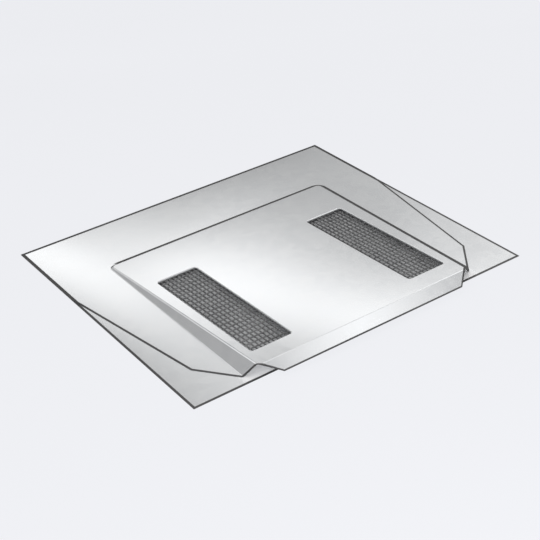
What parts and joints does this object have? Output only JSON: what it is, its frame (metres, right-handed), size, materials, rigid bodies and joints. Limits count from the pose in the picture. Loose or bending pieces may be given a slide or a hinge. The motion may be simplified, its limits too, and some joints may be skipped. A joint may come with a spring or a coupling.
{
  "type": "low profile roof vent",
  "caption": "Low profile roof vent of bright galvanised sheet: a flat base flashing under a pressed cover with a shallow hood, long wire screens and a front rain lip.",
  "frame": {"origin": "centre of the base flashing's underside, on the roof deck", "axes": "+Z away from the deck, +Y up the roof, +X along the eave to the right seen from the eave"},
  "size_m": [0.61, 0.5514, 0.0201],
  "materials": {
    "galvanised_sheet": "satin",
    "screen_wire": "satin"
  },
  "bodies": {
    "root": {"base_flashing": "galvanised_sheet", "vent_cover": "galvanised_sheet", "screen_left": "screen_wire", "screen_right": "screen_wire"}
  },
  "joints": []
}
